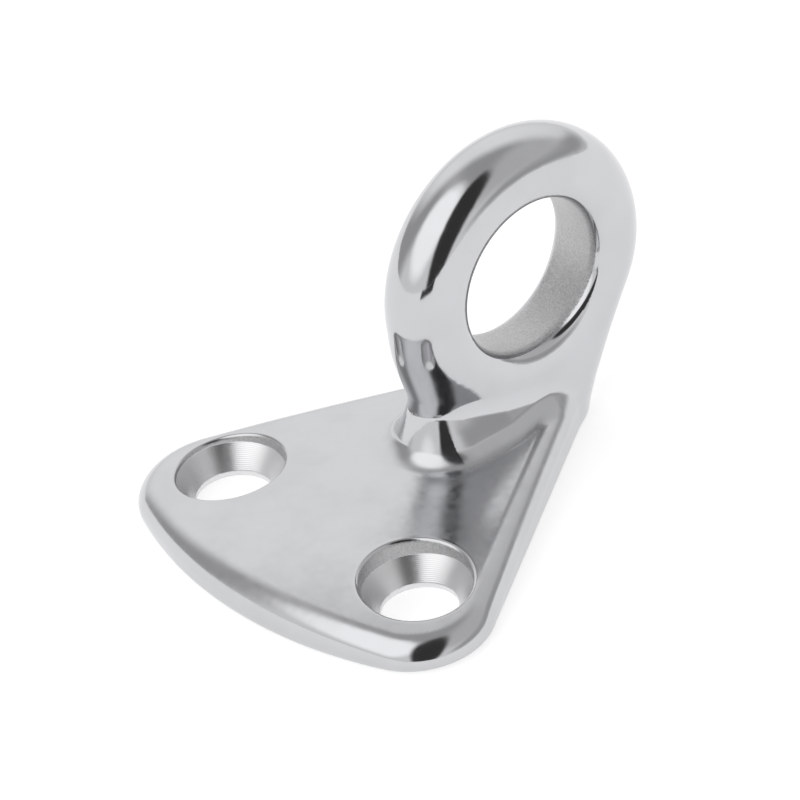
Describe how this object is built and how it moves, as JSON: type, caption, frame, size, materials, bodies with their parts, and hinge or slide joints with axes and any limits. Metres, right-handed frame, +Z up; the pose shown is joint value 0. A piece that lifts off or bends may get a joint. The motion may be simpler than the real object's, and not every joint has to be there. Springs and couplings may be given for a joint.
{
  "type": "pad eye",
  "caption": "Cast stainless pad eye: rounded triangular base plate with countersunk screw holes and an upright ring on a web at its narrow end.",
  "frame": {"origin": "midway between the two screw holes, on the flat underside of the base plate", "axes": "+Z up out of the surface it is screwed to, +X from the screw holes towards the ring, +Y along the ring's bore and along the line of the screw holes"},
  "size_m": [0.0589, 0.0494, 0.0376],
  "materials": {
    "polished_steel": "mirror-polished cast stainless steel, with satin as-cast bore and turned countersinks"
  },
  "bodies": {
    "root": {"pad_eye_casting": "polished_steel"}
  },
  "joints": []
}
